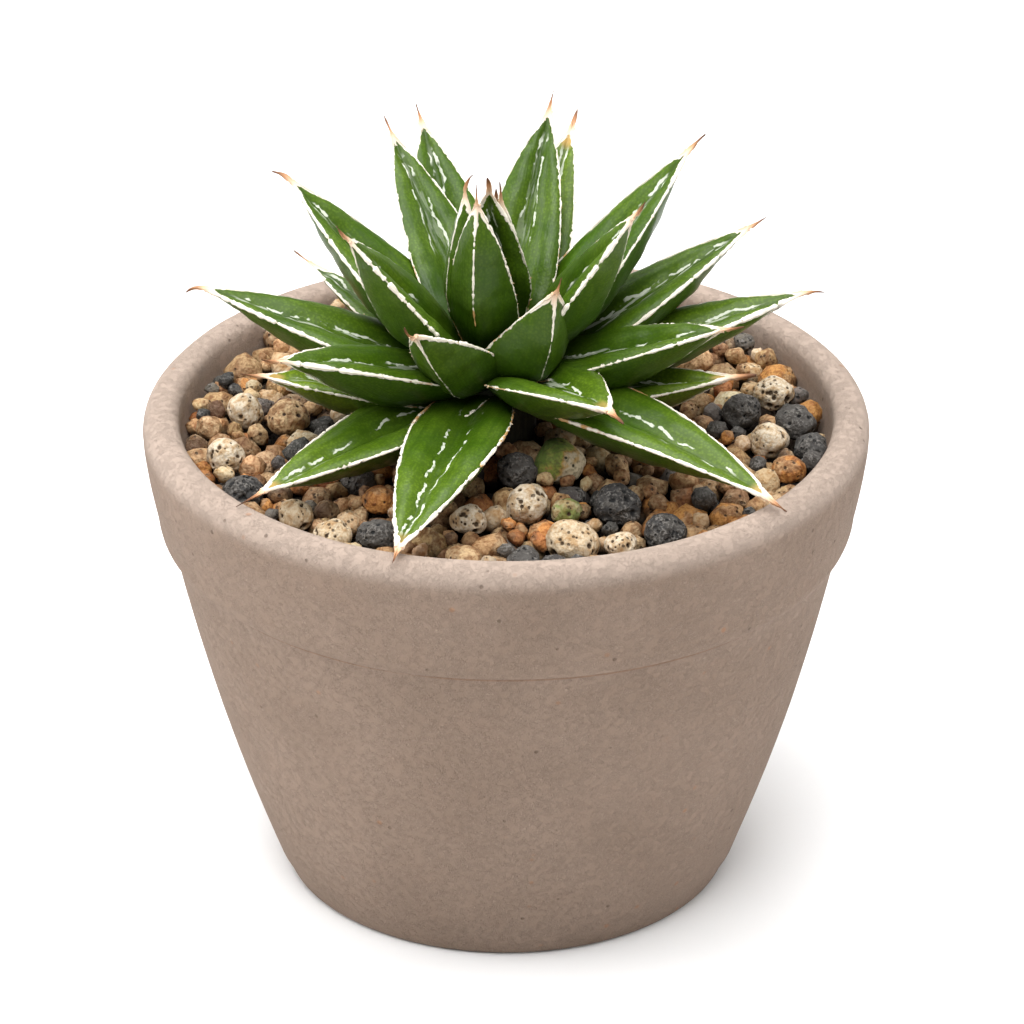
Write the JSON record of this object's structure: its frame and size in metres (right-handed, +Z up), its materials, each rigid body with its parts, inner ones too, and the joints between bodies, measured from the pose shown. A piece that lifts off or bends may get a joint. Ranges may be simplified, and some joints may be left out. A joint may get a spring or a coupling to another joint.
{
  "type": "potted agave",
  "caption": "Small white-edged agave rosette on a short stem, set in soil with gravel dressing in a tapered clay pot with a collared rim.",
  "frame": {"origin": "centre of the pot's foot, on the surface it stands on", "axes": "+Z up along the pot's axis; -Y is the plant's front"},
  "size_m": [0.14, 0.14, 0.1493],
  "materials": {
    "pot_clay": "matt fibre clay, unglazed, fine short fibres and pits",
    "soil": "dark gritty potting soil",
    "gravel": "mixed small grit, dry",
    "leaf": "waxy green skin with white horny margins and brown spines",
    "stem": "pale fibrous stem and root crown",
    "pumice": "cream pumice with dark pits",
    "lava": "dark grey lava, fine pores",
    "clay_pebble": "tan and orange fired clay and akadama",
    "green_stone": "pale stone with moss staining"
  },
  "bodies": {
    "root": {"bud_leaf_back": "leaf", "bud_leaf_front": "leaf", "bud_leaf_left": "leaf", "bud_leaf_right": "leaf", "clay_pebble_1": "clay_pebble", "clay_pebble_2": "clay_pebble", "clay_pebble_3": "clay_pebble", "clay_pebble_4": "clay_pebble", "clay_pebble_5": "clay_pebble", "clay_pebble_6": "clay_pebble", "furled_leaf": "leaf", "gravel_bed": "gravel", "green_pebble": "green_stone", "inner_leaf_back_left": "leaf", "inner_leaf_back_right": "leaf", "inner_leaf_front": "leaf", "inner_leaf_left": "leaf", "inner_leaf_right": "leaf", "lava_stone_1": "lava", "lava_stone_2": "lava", "lava_stone_3": "lava", "lava_stone_4": "lava", "lava_stone_5": "lava", "lava_stone_6": "lava", "lava_stone_7": "lava", "lava_stone_8": "lava", "lower_leaf_back": "leaf", "lower_leaf_back_left": "leaf", "lower_leaf_back_right": "leaf", "lower_leaf_left": "leaf", "lower_leaf_right": "leaf", "middle_leaf_back": "leaf", "middle_leaf_back_left": "leaf", "middle_leaf_back_right": "leaf", "middle_leaf_left": "leaf", "middle_leaf_right": "leaf", "middle_leaf_right_back": "leaf", "mossy_stone": "green_stone", "outer_leaf_front": "leaf", "outer_leaf_front_left": "leaf", "outer_leaf_front_right": "leaf", "outer_leaf_left": "leaf", "outer_leaf_right": "leaf", "outer_leaf_right_back": "leaf", "pot": "pot_clay", "pumice_1": "pumice", "pumice_10": "pumice", "pumice_2": "pumice", "pumice_3": "pumice", "pumice_4": "pumice", "pumice_5": "pumice", "pumice_6": "pumice", "pumice_7": "pumice", "pumice_8": "pumice", "pumice_9": "pumice", "short_leaf_left": "leaf", "short_leaf_right": "leaf", "soil": "soil", "stem": "stem"}
  },
  "joints": []
}
